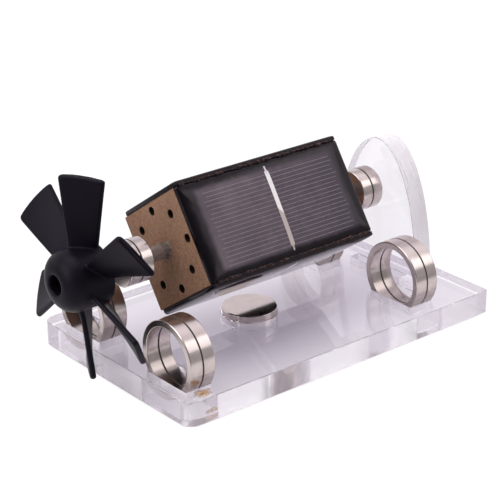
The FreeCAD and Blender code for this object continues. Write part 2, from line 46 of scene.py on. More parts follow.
# --------------------------------------------------------------- node helpers
class Mat:
    """A material under construction: one Principled shader and its nodes."""

    def __init__(self, name):
        self.mat = bpy.data.materials.new(name)
        self.mat.use_nodes = True
        self.nt = self.mat.node_tree
        self.nt.nodes.clear()
        self.out = self.nt.nodes.new("ShaderNodeOutputMaterial")
        self.p = self.nt.nodes.new("ShaderNodeBsdfPrincipled")
        self.link(self.p.outputs[0], self.out.inputs["Surface"])
        self._coord = None

    def link(self, a, b):
        self.nt.links.new(a, b)

    def node(self, kind):
        return self.nt.nodes.new(kind)

    def coord(self):
        """Object coordinates in millimetres."""
        if self._coord is None:
            tc = self.node("ShaderNodeTexCoord")
            mp = self.node("ShaderNodeMapping")
            mp.inputs["Scale"].default_value = (1000, 1000, 1000)
            self.link(tc.outputs["Object"], mp.inputs["Vector"])
            self._coord = mp.outputs[0]
        return self._coord

    def stretch(self, scale, shift=(0, 0, 0)):
        mp = self.node("ShaderNodeMapping")
        mp.inputs["Scale"].default_value = scale
        mp.inputs["Location"].default_value = shift
        self.link(self.coord(), mp.inputs["Vector"])
        return mp.outputs[0]

    def noise(self, scale, detail=3.0, rough=0.55, vec=None, distort=0.0):
        n = self.node("ShaderNodeTexNoise")
        n.inputs["Scale"].default_value = scale
        n.inputs["Detail"].default_value = detail
        n.inputs["Roughness"].default_value = rough
        n.inputs["Distortion"].default_value = distort
        self.link(vec or self.coord(), n.inputs["Vector"])
        return n.outputs["Fac"]

    def voronoi(self, scale, vec=None):
        n = self.node("ShaderNodeTexVoronoi")
        n.inputs["Scale"].default_value = scale
        self.link(vec or self.coord(), n.inputs["Vector"])
        return n.outputs["Distance"]

    def xyz(self, vec=None):
        s = self.node("ShaderNodeSeparateXYZ")
        self.link(vec or self.coord(), s.inputs[0])
        return s.outputs[0], s.outputs[1], s.outputs[2]

    def math(self, op, a, b=None, c=None, clamp=False):
        n = self.node("ShaderNodeMath")
        n.operation = op
        n.use_clamp = clamp
        for i, v in enumerate((a, b, c)):
            if v is None:
                continue
            if isinstance(v, (int, float)):
                n.inputs[i].default_value = v
            else:
                self.link(v, n.inputs[i])
        return n.outputs[0]

    def remap(self, v, a, b, lo=0.0, hi=1.0, smooth=True):
        n = self.node("ShaderNodeMapRange")
        if smooth:
            n.interpolation_type = "SMOOTHSTEP"
        n.inputs["From Min"].default_value = a
        n.inputs["From Max"].default_value = b
        n.inputs["To Min"].default_value = lo
        n.inputs["To Max"].default_value = hi
        self.link(v, n.inputs["Value"])
        return n.outputs[0]

    def between(self, v, lo, hi, soft):
        """1 between lo and hi, falling to 0 over soft."""
        up = self.remap(v, lo - soft, lo + soft)
        down = self.remap(v, hi - soft, hi + soft, 1.0, 0.0)
        return self.math("MULTIPLY", up, down)

    def ramp(self, fac, stops):
        n = self.node("ShaderNodeValToRGB")
        cr = n.color_ramp
        while len(cr.elements) < len(stops):
            cr.elements.new(0.5)
        for e, (at, col) in zip(cr.elements, stops):
            e.position = at
            e.color = (*col, 1.0) if len(col) == 3 else col
        self.link(fac, n.inputs[0])
        return n.outputs[0]

    def mix(self, fac, a, b, mode="MIX"):
        n = self.node("ShaderNodeMix")
        n.data_type = "RGBA"
        n.blend_type = mode
        if isinstance(fac, (int, float)):
            n.inputs[0].default_value = fac
        else:
            self.link(fac, n.inputs[0])
        for i, v in ((6, a), (7, b)):
            if isinstance(v, (tuple, list)):
                n.inputs[i].default_value = (*v, 1.0) if len(v) == 3 else v
            else:
                self.link(v, n.inputs[i])
        return n.outputs[2]

    def bump(self, height, strength, distance_mm):
        n = self.node("ShaderNodeBump")
        n.inputs["Strength"].default_value = strength
        n.inputs["Distance"].default_value = distance_mm * MM
        self.link(height, n.inputs["Height"])
        self.link(n.outputs[0], self.p.inputs["Normal"])

    def set(self, **values):
        names = {
            "color": "Base Color", "metallic": "Metallic",
            "rough": "Roughness", "ior": "IOR",
            "transmission": "Transmission Weight",
            "coat": "Coat Weight", "coat_rough": "Coat Roughness",
            "specular": "Specular IOR Level", "spec_tint": "Specular Tint",
            "subsurface": "Subsurface Weight", "sub_scale": "Subsurface Scale",
            "sheen": "Sheen Weight", "sheen_rough": "Sheen Roughness",
        }
        for key, v in values.items():
            socket = self.p.inputs[names[key]]
            if isinstance(v, (int, float)):
                socket.default_value = v
            elif isinstance(v, tuple):
                socket.default_value = (*v, 1.0) if len(v) == 3 else v
            else:
                self.link(v, socket)

    def lamps_through(self, tint):
        """Lamp light passes straight through this glass."""
        lp = self.node("ShaderNodeLightPath")
        either = self.math("MAXIMUM", lp.outputs["Is Shadow Ray"],
                           lp.outputs["Is Diffuse Ray"])
        tr = self.node("ShaderNodeBsdfTransparent")
        tr.inputs[0].default_value = (*tint, 1.0)
        mx = self.node("ShaderNodeMixShader")
        self.link(either, mx.inputs[0])
        self.link(self.p.outputs[0], mx.inputs[1])
        self.link(tr.outputs[0], mx.inputs[2])
        self.link(mx.outputs[0], self.out.inputs["Surface"])


# ------------------------------------------------------------------ materials
def make_acrylic(name, axis):
    """Cast sheet: clear faces and duller cut edges, streaked across the sheet
    on the base and along the outline on the upright plate. axis is the index
    of the direction the sheet faces."""
    m = Mat(name)
    tc = m.node("ShaderNodeTexCoord")
    sheet = m.xyz(tc.outputs["Normal"])[axis]
    edge = m.remap(m.math("ABSOLUTE", sheet), 0.35, 0.8, 1.0, 0.0)
    scuff = m.noise(0.9, 5, 0.7)
    grain = m.noise(5.0, 3, 0.6)
    if axis == 2:
        scale = [2.4, 2.4, 0.10]
    else:
        scale = [1.1, 0.06, 0.06]
    streak = m.noise(1.0, 3, 0.6, m.stretch(tuple(scale)))
    face = m.remap(scuff, 0.5, 0.85, 0.0, 0.035)
    lo, hi = (0.09, 0.24) if axis == 2 else (0.26, 0.34)
    cut = m.math("ADD", m.remap(streak, 0.3, 0.7, lo, hi),
                 m.remap(grain, 0.4, 0.8, 0.0, 0.05))
    rough = m.math("ADD", m.math("MULTIPLY", face, m.math("SUBTRACT", 1.0, edge)),
                   m.math("MULTIPLY", cut, edge))
    frost = 0.88 if axis == 2 else 0.42
    tint = (0.962, 0.932, 0.975) if axis == 2 else (0.988, 0.958, 0.992)
    if axis == 2:
        # painted shade: the glass tint is darker, in streaks, on the faces that point to -x,
        # the left end of the base
        left_face_shade = m.remap(m.xyz(tc.outputs["Normal"])[0], -0.95, -0.5, 1.0, 0.0)
        left_face_shade = m.math("MULTIPLY", left_face_shade, m.remap(streak, 0.3, 0.7, 0.75, 1.0))
        tint = m.mix(left_face_shade, tint, (0.800, 0.765, 0.820))
    else:
        # the faces of the upright plate are hazier than its edge
        tint = m.mix(edge, (0.902, 0.884, 0.926), tint)
    m.set(color=tint, ior=1.49, rough=rough,
          transmission=m.remap(edge, 0.0, 1.0, 0.96, frost, False))
    wave = m.noise(0.05, 1, 0.4)
    height = m.math("ADD", wave, m.math("MULTIPLY", m.math(
        "MULTIPLY", streak, edge), 0.12 if axis == 2 else 0.012))
    m.bump(height, 0.30, 0.30)
    m.lamps_through((0.93, 0.915, 0.94))
    return m.mat


def make_nickel(name, seams, polish, film=0.0):
    """Nickel plating; seams are the x of the dark lines between a pair, painted shade at the
    joint.

    film is how much painted shade darkens the lower part of a ring, down at the slots."""
    m = Mat(name)
    cloud = m.noise(0.35, 3, 0.6)
    fine = m.noise(3.5, 4, 0.65)
    tumble = m.noise(11.0, 2, 0.5)
    rough = m.math("ADD", m.remap(cloud, 0.3, 0.75, polish, polish * 1.2),
                   m.remap(fine, 0.35, 0.8, 0.0, polish * 0.2))
    col = m.ramp(cloud, [(0.25, (0.530, 0.462, 0.446)), (0.75, (0.598, 0.524, 0.506))])
    pits = m.voronoi(0.55)
    pit = m.remap(pits, 0.03, 0.09, 0.0, 1.0)
    col = m.mix(pit, (0.36, 0.31, 0.28), col)
    x, y, z = m.xyz()
    # painted shade: below a ragged height the ring is painted a dull dark metal
    low_shade_height = m.math("ADD", z, m.remap(cloud, 0.3, 0.7, -1.0, 1.0))
    col = m.mix(m.remap(low_shade_height, 17.5, 9.5, 0.0, film), col, (0.345, 0.298, 0.282))
    # painted shade: a dark, non-metal line at the joint between the two magnets of a pair
    dark = None
    for at in seams:
        line = m.remap(m.math("ABSOLUTE", m.math("SUBTRACT", x, at)),
                       0.22, 0.38, 1.0, 0.0)
        dark = line if dark is None else m.math("MAXIMUM", dark, line)
    metal = 1.0
    if dark is not None:
        col = m.mix(dark, col, (0.034, 0.020, 0.013))
        metal = m.math("SUBTRACT", 1.0, dark)
        rough = m.math("MAXIMUM", rough, m.math("MULTIPLY", dark, 0.6))
    m.set(color=col, metallic=metal, rough=rough)
    m.bump(tumble, 0.05, 0.02)
    return m.mat


def make_black_plastic():
    m = Mat("black_plastic")
    big = m.noise(0.12, 2, 0.5)
    fine = m.noise(9.0, 4, 0.6)
    col = m.ramp(big, [(0.3, (0.0036, 0.0026, 0.0060)), (0.75, (0.0058, 0.0043, 0.0088))])
    dust = m.remap(m.noise(2.2, 6, 0.75), 0.64, 0.8, 0.0, 0.35)
    col = m.mix(dust, col, (0.024, 0.020, 0.026))
    # the parting line of the moulded hub: a groove, painted a little darker as painted shade
    x, y, z = m.xyz()
    r = m.math("SQRT", m.math("ADD", m.math("POWER", y, 2.0),
                              m.math("POWER", m.math("SUBTRACT", z, AXIS_Z), 2.0)))
    line = m.math("MULTIPLY", m.between(x, -75.22, -74.78, 0.12),
                  m.remap(r, 10.0, 10.2, 1.0, 0.0))
    col = m.mix(m.math("MULTIPLY", line, 0.75), col, (0.003, 0.003, 0.004))
    rough = m.remap(fine, 0.3, 0.75, 0.36, 0.50)
    m.set(color=col, rough=rough, ior=1.5, specular=0.105,
          spec_tint=(0.93, 0.86, 1.0))
    h = m.math("SUBTRACT", m.math("MULTIPLY", fine, 0.25), line)
    m.bump(h, 0.55, 0.06)
    return m.mat


def make_fibreboard():
    m = Mat("fibreboard")
    broad = m.noise(0.16, 4, 0.6)
    fibre = m.noise(1.6, 6, 0.72, m.stretch((1.0, 0.55, 1.9)), 1.2)
    fibre2 = m.noise(2.6, 6, 0.7, m.stretch((1.0, 2.2, 0.6), (7, 3, 1)), 0.9)
    both = m.math("MULTIPLY", m.math("ADD", fibre, fibre2), 0.5)
    col = m.ramp(both, [(0.36, (0.120, 0.058, 0.034)),
                        (0.50, (0.310, 0.172, 0.108)),
                        (0.62, (0.540, 0.335, 0.226))])
    col = m.mix(m.remap(broad, 0.3, 0.7, 0.0, 0.40), col, (0.250, 0.148, 0.096))
    drag = m.noise(0.5, 5, 0.7, m.stretch((1.0, 1.9, 0.5), (2, 5, 9)))
    col = m.mix(m.remap(drag, 0.52, 0.70, 0.0, 0.42), col, (0.120, 0.066, 0.042))
    speck = m.remap(m.noise(6.5, 2, 0.5), 0.66, 0.72, 0.0, 0.6)
    col = m.mix(speck, col, (0.055, 0.035, 0.024))
    # painted shade: the board is multiplied darker towards the bottom, standing in for light
    # from above
    painted_low_shade = m.remap(m.xyz()[2], 18.0, 56.0, 0.0, 1.0, False)
    col = m.mix(1.0, col, m.ramp(painted_low_shade, [(0.0, (0.66, 0.61, 0.56)),
                                        (1.0, (1.0, 0.99, 0.98))]), "MULTIPLY")
    tc = m.node("ShaderNodeTexCoord")
    sheet = m.math("ABSOLUTE", m.xyz(tc.outputs["Normal"])[0])
    col = m.mix(m.remap(sheet, 0.3, 0.75, 1.0, 0.0), col, (0.012, 0.008, 0.006))
    m.set(color=col, rough=m.remap(fibre, 0.3, 0.7, 0.72, 0.92), specular=0.3)
    m.bump(both, 0.35, 0.10)
    return m.mat


def make_panel_top(mid, gloss):
    """Dark potting resin over a silicon cell with printed fingers."""
    m = Mat("solar_panel_face")
    x, y, z = m.xyz()
    yc = m.math("SUBTRACT", y, mid)
    wob = m.noise(0.35, 2, 0.5)
    soft = m.math("MULTIPLY", m.math("SUBTRACT", wob, 0.5), 0.8)
    xs = m.math("ADD", x, soft)
    ys = m.math("ADD", yc, soft)
    wafer = m.math("MULTIPLY", m.between(xs, 5.4, 59.3, 1.1),
                   m.between(ys, -13.0, 12.7, 0.9))
    crystal = m.noise(0.22, 4, 0.6)
    mott = m.noise(0.05, 2, 0.5)
    fine = m.noise(5.0, 3, 0.6)
    cell = m.ramp(crystal, [(0.30, (0.036, 0.024, 0.037)),
                            (0.72, (0.094, 0.071, 0.089))])
    cell = m.mix(m.remap(fine, 0.4, 0.75, 0.0, 0.30), cell, (0.105, 0.082, 0.104))
    # painted reflection: greyer and lighter in patches at the end next to the propeller;
    # painted shade: darker and bluer far away
    glare_patches = m.noise(0.13, 4, 0.6, m.stretch((1.0, 0.8, 1.0)))
    painted_glare = m.math("MULTIPLY", m.remap(x, 3.0, 40.0, 0.85, 0.0),
                  m.remap(glare_patches, 0.32, 0.66, 0.50, 1.0))
    cell = m.mix(painted_glare, cell, (0.122, 0.096, 0.108))
    cell = m.mix(m.remap(x, 42.0, 60.0, 0.0, 0.85), cell, (0.022, 0.015, 0.028))
    cell = m.mix(m.remap(mott, 0.38, 0.62, 0.0, 0.45), cell, (0.044, 0.031, 0.046))
    border = m.ramp(mott, [(0.3, (0.0014, 0.0008, 0.0018)), (0.7, (0.0034, 0.0022, 0.0042))])
    col = m.mix(wafer, border, cell)
    # fingers: thin printed lines along the panel
    pitch, first = 1.365, 11.1
    row = m.math("DIVIDE", m.math("SUBTRACT", first, yc), pitch)
    idx = m.math("ROUND", row)
    off = m.math("ABSOLUTE", m.math("MULTIPLY", m.math("SUBTRACT", row, idx), pitch))
    thin = m.remap(off, 0.03, 0.13, 1.0, 0.0)
    jag = m.node("ShaderNodeTexWhiteNoise")
    jag.noise_dimensions = "1D"
    m.link(idx, jag.inputs["W"])
    shift = m.math("MULTIPLY", m.math("SUBTRACT", jag.outputs["Value"], 0.5), 1.6)
    xr = m.math("ADD", x, shift)
    finger = m.math("MULTIPLY", thin, m.between(xr, 7.9, 58.2, 0.3))
    finger = m.math("MULTIPLY", finger, m.between(idx, -0.5, 17.5, 0.1))
    broken = m.remap(m.noise(1.6, 3, 0.6), 0.30, 0.55, 0.45, 1.0)
    finger = m.math("MULTIPLY", finger, broken)
    col = m.mix(m.math("MULTIPLY", finger, 0.50), col, (0.36, 0.32, 0.38))
    # busbar with narrower tips
    half = m.remap(m.math("ABSOLUTE", m.math("SUBTRACT", yc, 0.05)), 11.9, 12.5, 0.80, 0.30)
    tilt = m.math("MULTIPLY", yc, -0.028)
    bx = m.math("ABSOLUTE", m.math("SUBTRACT", m.math("ADD", x, tilt), 33.0))
    bar = m.math("MULTIPLY",
                 m.remap(m.math("SUBTRACT", bx, half), -0.07, 0.07, 1.0, 0.0),
                 m.between(yc, -13.75, 13.85, 0.12))
    # painted highlight: past a slanted line the busbar is painted much brighter, less so
    # towards its +y end
    glint_edge = m.math("ADD", yc, m.math("MULTIPLY", m.math("SUBTRACT", m.math("ADD", x, tilt),
                                                        33.0), 1.3))
    busbar_glint = m.math("MULTIPLY", m.remap(glint_edge, -1.2, -0.6), m.remap(yc, 12.6, 10.5, 0.45, 1.0))
    silver = m.mix(busbar_glint, (0.48, 0.405, 0.382), (0.86, 0.83, 0.835))
    silver = m.mix(m.remap(fine, 0.45, 0.8, 0.0, 0.35), silver, (0.30, 0.27, 0.26))
    col = m.mix(bar, col, silver)
    rough = m.math("ADD", m.remap(crystal, 0.3, 0.7, gloss, gloss * 1.5),
                   m.remap(fine, 0.5, 0.9, 0.0, gloss * 0.4))
    # the cast sides are dull and have brown glue on them
    tc = m.node("ShaderNodeTexCoord")
    nx, ny, nz = m.xyz(tc.outputs["Normal"])
    side = m.remap(nz, 0.10, 0.55, 1.0, 0.0)
    end = m.remap(m.math("ABSOLUTE", nx), 0.45, 0.8)
    long_side = m.math("MULTIPLY", side, m.math("SUBTRACT", 1.0, end))
    brown = m.ramp(m.noise(1.3, 5, 0.7, m.stretch((0.6, 1.0, 1.6))),
                   [(0.50, (0.0060, 0.0040, 0.0055)), (0.62, (0.028, 0.014, 0.011)),
                    (0.72, (0.068, 0.033, 0.025))])
    col = m.mix(side, col, (0.0016, 0.0012, 0.0020))
    col = m.mix(long_side, col, brown)
    rough = m.math("MAXIMUM", rough, m.math("MULTIPLY", long_side, 0.62))
    m.set(color=col, rough=rough, ior=1.5, specular=0.27, spec_tint=(1.0, 0.88, 0.97))
    m.bump(m.math("ADD", m.noise(0.10, 2, 0.5), m.math("MULTIPLY", fine, 0.01)),
           0.35 if gloss > 0.08 else 0.10, 0.35)
    return m.mat


def make_board():
    m = Mat("circuit_board")
    layer = m.noise(1.3, 5, 0.6)
    col = m.ramp(layer, [(0.3, (0.006, 0.004, 0.007)), (0.6, (0.016, 0.010, 0.014)),
                         (0.8, (0.070, 0.036, 0.030))])
    tc = m.node("ShaderNodeTexCoord")
    end = m.remap(m.math("ABSOLUTE", m.xyz(tc.outputs["Normal"])[0]), 0.45, 0.8)
    col = m.mix(m.math("MULTIPLY", end, 0.75), col, (0.002, 0.0016, 0.0024))
    m.set(color=col, rough=m.remap(layer, 0.3, 0.7, 0.35, 0.55), ior=1.5,
          specular=0.20, spec_tint=(1.0, 0.86, 0.98))
    m.bump(m.noise(6.0, 3, 0.6), 0.3, 0.03)
    return m.mat


def make_dark_glue():
    m = Mat("dark_glue")
    n = m.noise(1.1, 5, 0.65)
    col = m.ramp(n, [(0.35, (0.004, 0.003, 0.004)), (0.53, (0.012, 0.007, 0.008)),
                     (0.66, (0.150, 0.072, 0.052))])
    m.set(color=col, rough=m.remap(n, 0.35, 0.7, 0.26, 0.5), ior=1.5,
          specular=0.18, spec_tint=(1.0, 0.86, 0.98))
    m.bump(m.noise(2.4, 4, 0.6), 0.5, 0.15)
    return m.mat


def make_clear_glue():
    m = Mat("clear_glue")
    n = m.noise(0.8, 3, 0.6)
    col = m.ramp(n, [(0.3, (0.135, 0.104, 0.094)), (0.7, (0.215, 0.172, 0.158))])
    bubble = m.remap(m.voronoi(1.5), 0.10, 0.22, 1.0, 0.0)
    col = m.mix(m.math("MULTIPLY", bubble, 0.45), col, (0.070, 0.054, 0.048))
    m.set(color=col, transmission=0.14, ior=1.46, specular=0.35,
          rough=m.remap(n, 0.3, 0.7, 0.20, 0.32))
    m.bump(m.noise(1.2, 3, 0.6), 0.12, 0.06)
    m.lamps_through((0.86, 0.83, 0.80))
    return m.mat


def make_residue():
    """Amber film of old glue on the wall of a slot."""
    m = Mat("amber_residue")
    n = m.noise(1.4, 4, 0.6)
    col = m.ramp(n, [(0.36, (0.50, 0.26, 0.12)), (0.52, (0.76, 0.53, 0.35)),
                     (0.70, (0.90, 0.80, 0.68))])
    # the film on top of the sheet thins out towards its rim, round a dark line
    x, y, z = m.xyz()
    on_top = m.remap(z, 7.9, 8.0)
    ragged = m.math("MULTIPLY", m.math("SUBTRACT", m.noise(0.9, 4, 0.7), 0.5), 0.9)
    across = m.math("DIVIDE", m.math("ADD", x, 54.6), 3.2)
    along = m.math("DIVIDE", m.math("ADD", y, 34.7), 2.3)
    reach = m.math("SQRT", m.math("ADD", m.math("POWER", across, 2.0),
                                  m.math("POWER", along, 2.0)))
    rim = m.math("MULTIPLY", on_top,
                 m.remap(m.math("ADD", reach, ragged), 0.35, 0.95))
    line = m.math("ADD", y, m.math("MULTIPLY", ragged, 0.8))
    core = m.math("MULTIPLY", on_top, m.math(
        "MULTIPLY", m.between(x, -56.2, -53.4, 0.5), m.between(line, -35.5, -34.9, 0.3)))
    col = m.mix(core, col, (0.40, 0.19, 0.085))
    col = m.mix(rim, col, (0.95, 0.92, 0.91))
    m.set(color=col, transmission=m.remap(rim, 0.0, 1.0, 0.45, 0.97), ior=1.48,
          rough=m.remap(n, 0.3, 0.7, 0.15, 0.35))
    m.bump(m.noise(2.0, 4, 0.6), 0.5, 0.12)
    m.lamps_through((0.80, 0.66, 0.50))
    return m.mat


def make_shaft():
    m = Mat("shaft_plastic")
    n = m.noise(0.6, 4, 0.6, m.stretch((0.25, 1.0, 1.0)))
    col = m.ramp(n, [(0.3, (0.168, 0.130, 0.122)), (0.7, (0.262, 0.208, 0.194))])
    m.set(color=col, rough=m.remap(n, 0.3, 0.7, 0.18, 0.30), ior=1.49,
          subsurface=0.15, sub_scale=0.0015)
    m.p.inputs["Subsurface Radius"].default_value = (1.0, 0.75, 0.6)
    m.bump(m.noise(4.0, 2, 0.5, m.stretch((0.2, 1.0, 1.0))), 0.15, 0.03)
    return m.mat


def make_steel():
    m = Mat("steel_pin")
    n = m.noise(6.0, 3, 0.6, m.stretch((4.0, 1.0, 1.0)))
    col = m.ramp(n, [(0.3, (0.45, 0.45, 0.46)), (0.7, (0.62, 0.62, 0.63))])
    m.set(color=col, metallic=1.0, rough=m.remap(n, 0.3, 0.7, 0.22, 0.34))
    m.bump(n, 0.1, 0.02)
    return m.mat


def make_wood():
    m = Mat("core_wood")
    grain = m.noise(1.2, 5, 0.65, m.stretch((0.12, 1.0, 1.0)), 1.5)
    col = m.ramp(grain, [(0.3, (0.30, 0.19, 0.10)), (0.55, (0.50, 0.36, 0.21)),
                         (0.75, (0.62, 0.48, 0.31))])
    m.set(color=col, rough=m.remap(grain, 0.3, 0.7, 0.55, 0.75))
    m.bump(grain, 0.3, 0.08)
    return m.mat


def make_copper():
    m = Mat("enamelled_copper")
    x, y, z = m.xyz()
    w = m.node("ShaderNodeTexWave")
    w.wave_type = "BANDS"
    w.bands_direction = "DIAGONAL"
    w.inputs["Scale"].default_value = 1.1
    w.inputs["Distortion"].default_value = 0.4
    m.link(m.coord(), w.inputs["Vector"])
    n = m.noise(0.5, 3, 0.6)
    col = m.ramp(n, [(0.3, (0.36, 0.105, 0.035)), (0.7, (0.62, 0.23, 0.085))])
    # painted shade: the colour darkens in the grooves between the turns of wire
    col = m.mix(m.remap(w.outputs["Fac"], 0.0, 0.5, 0.6, 0.0), col, (0.10, 0.03, 0.012))
    m.set(color=col, metallic=0.85, rough=m.remap(n, 0.3, 0.7, 0.22, 0.34),
          coat=0.6, coat_rough=0.08)
    m.bump(w.outputs["Fac"], 0.7, 0.12)
    return m.mat


def make_solder():
    m = Mat("solder")
    n = m.noise(2.0, 4, 0.6)
    col = m.ramp(n, [(0.3, (0.55, 0.55, 0.55)), (0.7, (0.78, 0.78, 0.77))])
    m.set(color=col, metallic=1.0, rough=m.remap(n, 0.3, 0.7, 0.2, 0.38))
    m.bump(n, 0.2, 0.05)
    return m.mat


def make_silicon():
    m = Mat("silicon_cell")
    n = m.noise(0.25, 4, 0.6)
    x, y, z = m.xyz()
    f = m.math("FRACT", m.math("MULTIPLY", y, 0.73))
    col = m.ramp(n, [(0.3, (0.05, 0.04, 0.06)), (0.7, (0.08, 0.065, 0.09))])
    col = m.mix(m.between(f, 0.44, 0.56, 0.02), col, (0.5, 0.48, 0.5))
    m.set(color=col, rough=m.remap(n, 0.3, 0.7, 0.25, 0.35))
    return m.mat


BASE_ACRYLIC = make_acrylic("clear_acrylic", 2)
PLATE_ACRYLIC = make_acrylic("clear_acrylic_upright", 0)
NICKEL = make_nickel("nickel_plating", (-53.55, 37.95), 0.185, 0.70)
NICKEL_SHAFT = make_nickel("nickel_plating_rotor", (-54.45, 38.90), 0.175)
NICKEL_DISC = make_nickel("nickel_plating_disc", (), 0.115)
RESIDUE = make_residue()
BLACK = make_black_plastic()
FIBRE = make_fibreboard()
BOARD = make_board()
GLUE = make_dark_glue()
CLEAR_GLUE = make_clear_glue()
SHAFT = make_shaft()
STEEL = make_steel()
WOOD = make_wood()
COPPER = make_copper()
SOLDER = make_solder()
SILICON = make_silicon()


# ------------------------------------------------------------------- geometry
def finish_mesh(name, bm, mat, body, nodes=(), matrix=None, sharp=32.0):
    bmesh.ops.recalc_face_normals(bm, faces=bm.faces)
    me = bpy.data.meshes.new(name)
    bm.to_mesh(me)
    bm.free()
    me.shade_smooth()
    if sharp:
        me.set_sharp_from_angle(angle=math.radians(sharp))
    me.materials.append(mat)
    ob = bpy.data.objects.new(name, me)
    bpy.context.scene.collection.objects.link(ob)
    if matrix is not None:
        ob.matrix_world = matrix
    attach(ob, body)
    if nodes:
        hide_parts(*nodes)
    return ob


def arc(cx, cy, r, a0, a1, n):
    return [(cx + r * math.cos(a0 + (a1 - a0) * i / n),
             cy + r * math.sin(a0 + (a1 - a0) * i / n)) for i in range(n + 1)]


def rounded_rect(x0, y0, x1, y1, r, grow=0.0, n=8):
    """Counter-clockwise; grow moves every side outwards."""
    x0, y0, x1, y1, r = x0 - grow, y0 - grow, x1 + grow, y1 + grow, r + grow
    r = max(r, 1e-4)
    q = math.pi / 2
    pts = []
    for cx, cy, a in ((x1 - r, y0 + r, -q), (x1 - r, y1 - r, 0),
                      (x0 + r, y1 - r, q), (x0 + r, y0 + r, 2 * q)):
        pts += arc(cx, cy, r, a, a + q, n)
    return pts


def base_outline(grow):
    """The base seen from above: wide corners in front, tight ones behind."""
    q = math.pi / 2
    x1, y1 = 62.5 + grow, 38.1 + grow
    a, b = 4.0 + grow, 1.2 + grow
    pts = []
    for cx, cy, r, t in ((x1 - b, -y1 + b, b, -q), (x1 - b, y1 - b, b, 0),
                         (-x1 + a, y1 - a, a, q), (-x1 + a, -y1 + a, a, 2 * q)):
        pts += arc(cx, cy, r, t, t + q, 14)
    return pts


def ring_points(cx, cy, r, n=64):
    return [(cx + r * math.cos(2 * math.pi * i / n),
             cy + r * math.sin(2 * math.pi * i / n)) for i in range(n)]


def cut_sheet(bm, outer, holes, z0, z1, ease, put):
    """A sheet with holes and eased edges. outer and holes are functions of
    how far the outline moves into the empty side; put maps (u, v, w)."""
    levels = [(z0, -ease), (z0 + ease, 0.0), (z1 - ease, 0.0), (z1, -ease)]
    cap = {0: [], 3: []}
    for k, fn in enumerate([outer] + list(holes)):
        loops = []
        for z, grow in levels:
            pts = fn(grow)
            loops.append([bm.verts.new(put(u * MM, v * MM, z * MM))
                          for u, v in pts])
        n = len(loops[0])
        for a, b in zip(loops, loops[1:]):
            for i in range(n):
                j = (i + 1) % n
                bm.faces.new((a[i], a[j], b[j], b[i]))
        for level in (0, 3):
            for i in range(n):
                e = bm.edges.get((loops[level][i], loops[level][(i + 1) % n]))
                cap[level].append(e)
    for level in (0, 3):
        bmesh.ops.triangle_fill(bm, edges=cap[level], use_beauty=True)


def fillet_loop(points, steps=4):
    """points: (a, r, radius) corners of a closed section; each is rounded."""
    out = []
    n = len(points)
    for i in range(n):
        p = Vector(points[i][:2])
        rad = points[i][2]
        if rad <= 0:
            out.append((p.x, p.y))
            continue
        u = (Vector(points[i - 1][:2]) - p).normalized()
        v = (Vector(points[(i + 1) % n][:2]) - p).normalized()
        ang = u.angle(v)
        d = rad / math.tan(ang / 2)
        c = p + (u + v).normalized() * (rad / math.sin(ang / 2))
        s, e = p + u * d - c, p + v * d - c
        sweep = s.angle_signed(e) if hasattr(s, "angle_signed") else 0
        a0 = math.atan2(s.y, s.x)
        a1 = math.atan2(e.y, e.x)
        while a1 - a0 > math.pi:
            a1 -= 2 * math.pi
        while a1 - a0 < -math.pi:
            a1 += 2 * math.pi
        out += [(c.x + rad * math.cos(a0 + (a1 - a0) * k / steps),
                 c.y + rad * math.sin(a0 + (a1 - a0) * k / steps))
                for k in range(steps + 1)]
    return out


def supported(points, closed, near=0.05):
    """Adds a point close to each end of the long straights, so that the
    smooth shading of the rounded edges stays off the flat faces."""
    out = []
    n = len(points)
    for i in range(n if closed else n - 1):
        p, q = Vector(points[i]), Vector(points[(i + 1) % n])
        out.append((p.x, p.y))
        if (q - p).length > 6 * near:
            u = (q - p).normalized() * near
            out += [(p.x + u.x, p.y + u.y), (q.x - u.x, q.y - u.y)]
    if not closed:
        out.append(points[-1])
    return out


def lathe(bm, section, segs, place, closed=True, wobble=None):
    """Turns a section of (along, radius) in mm; place maps along and the two
    crosswise directions into the frame."""
    rows = []
    for a, r in supported(section, closed):
        if r < 1e-6:
            rows.append([bm.verts.new(place(a * MM, 0, 0))])
        else:
            row = []
            for i in range(segs):
                t = 2 * math.pi * i / segs
                rr = r if wobble is None else wobble(a, r, t)
                row.append(bm.verts.new(place(a * MM, rr * MM * math.cos(t),
                                              rr * MM * math.sin(t))))
            rows.append(row)
    pairs = list(zip(rows, rows[1:]))
    if closed:
        pairs.append((rows[-1], rows[0]))
    for a, b in pairs:
        for i in range(segs):
            j = (i + 1) % segs
            if len(a) == 1 and len(b) == 1:
                continue
            if len(a) == 1:
                bm.faces.new((a[0], b[i], b[j]))
            elif len(b) == 1:
                bm.faces.new((a[i], a[j], b[0]))
            else:
                bm.faces.new((a[i], a[j], b[j], b[i]))


def along_x(y, z):
    return lambda a, b, c: Vector((a, y * MM + b, z * MM + c))


def along_z(x):
    return lambda a, b, c: Vector((x * MM + b, c, a))


# ----------------------------------------------------------------- clear base
def flat(u, v, w):
    return Vector((u, v, w))


bm = bmesh.new()
holes = []
for x0, x1 in ((-58.3, -48.8), (33.2, 42.7)):
    for y in (22.0, -22.0):
        holes.append(lambda g, x0=x0, x1=x1, y=y: rounded_rect(
            x0, y - 9.52, x1, y + 9.52, 0.25, -g, 3)[::-1])
holes.append(lambda g: rounded_rect(46.7, -12.1, 54.1, 12.1, 0.25, -g, 3)[::-1])
holes.append(lambda g: [(x - 8.2, y) for x, y in ring_points(0, 0, 9.2 - g, 96)][::-1])
cut_sheet(bm, base_outline, holes, 0.0, 8.0, 0.16, flat)
finish_mesh("base_sheet", bm, BASE_ACRYLIC, "root", ["base_plate"])


